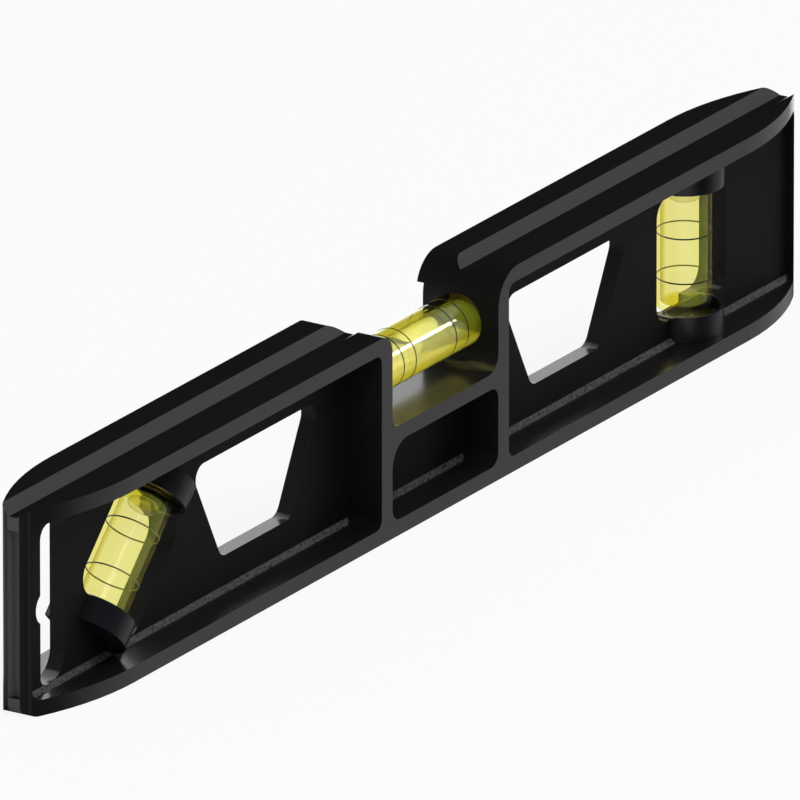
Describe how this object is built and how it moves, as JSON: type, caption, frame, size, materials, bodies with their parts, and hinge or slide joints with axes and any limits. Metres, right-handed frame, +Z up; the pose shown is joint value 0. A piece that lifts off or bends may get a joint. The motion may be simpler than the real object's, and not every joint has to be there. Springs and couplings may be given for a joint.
{
  "type": "pocket spirit level",
  "caption": "Slim pocket spirit level: a pierced black plastic body with a grooved top, a notch for the level vial, and mitre and plumb vials in capped windows.",
  "frame": {"origin": "middle of the bottom face, which is the working face the level stands on", "axes": "+X along the level towards the plumb vial, -Y out of the front, +Z up"},
  "size_m": [0.232, 0.0156, 0.035],
  "materials": {
    "body_plastic": "black moulded plastic with a fine grain",
    "cap_plastic": "blue-black moulded plastic, satin",
    "clear_tube": "clear polished acrylic",
    "liquid": "clear yellow liquid",
    "air": "air bubble, glossy surface",
    "mark_ink": "dark printed ring"
  },
  "bodies": {
    "level": {"body": "body_plastic", "main_tube": "clear_tube", "main_plug": "clear_tube", "main_liquid": "liquid", "main_marks": "mark_ink", "mitre_tube": "clear_tube", "mitre_plug": "clear_tube", "mitre_liquid": "liquid", "mitre_marks": "mark_ink", "mitre_lower_cap": "cap_plastic", "mitre_upper_cap": "cap_plastic", "plumb_tube": "clear_tube", "plumb_plug": "clear_tube", "plumb_liquid": "liquid", "plumb_marks": "mark_ink", "plumb_lower_cap": "cap_plastic", "plumb_upper_cap": "cap_plastic"},
    "level_bubble": {"main_bubble": "air"},
    "mitre_air": {"mitre_bubble": "air"},
    "plumb_air": {"plumb_bubble": "air"}
  },
  "joints": [
    {"name": "level_bubble_slide", "type": "slide", "parent": "level", "child": "level_bubble", "axis": [1, 0, 0], "range_m": [-0.0135, 0.0085], "stiffness_N_per_m": 1},
    {"name": "mitre_bubble_slide", "type": "slide", "parent": "level", "child": "mitre_air", "axis": [0.7071, 0, 0.7071], "range_m": [-0.0171, 0], "stiffness_N_per_m": 2},
    {"name": "plumb_bubble_slide", "type": "slide", "parent": "level", "child": "plumb_air", "axis": [0, 0, 1], "range_m": [-0.0171, 0], "stiffness_N_per_m": 2}
  ]
}
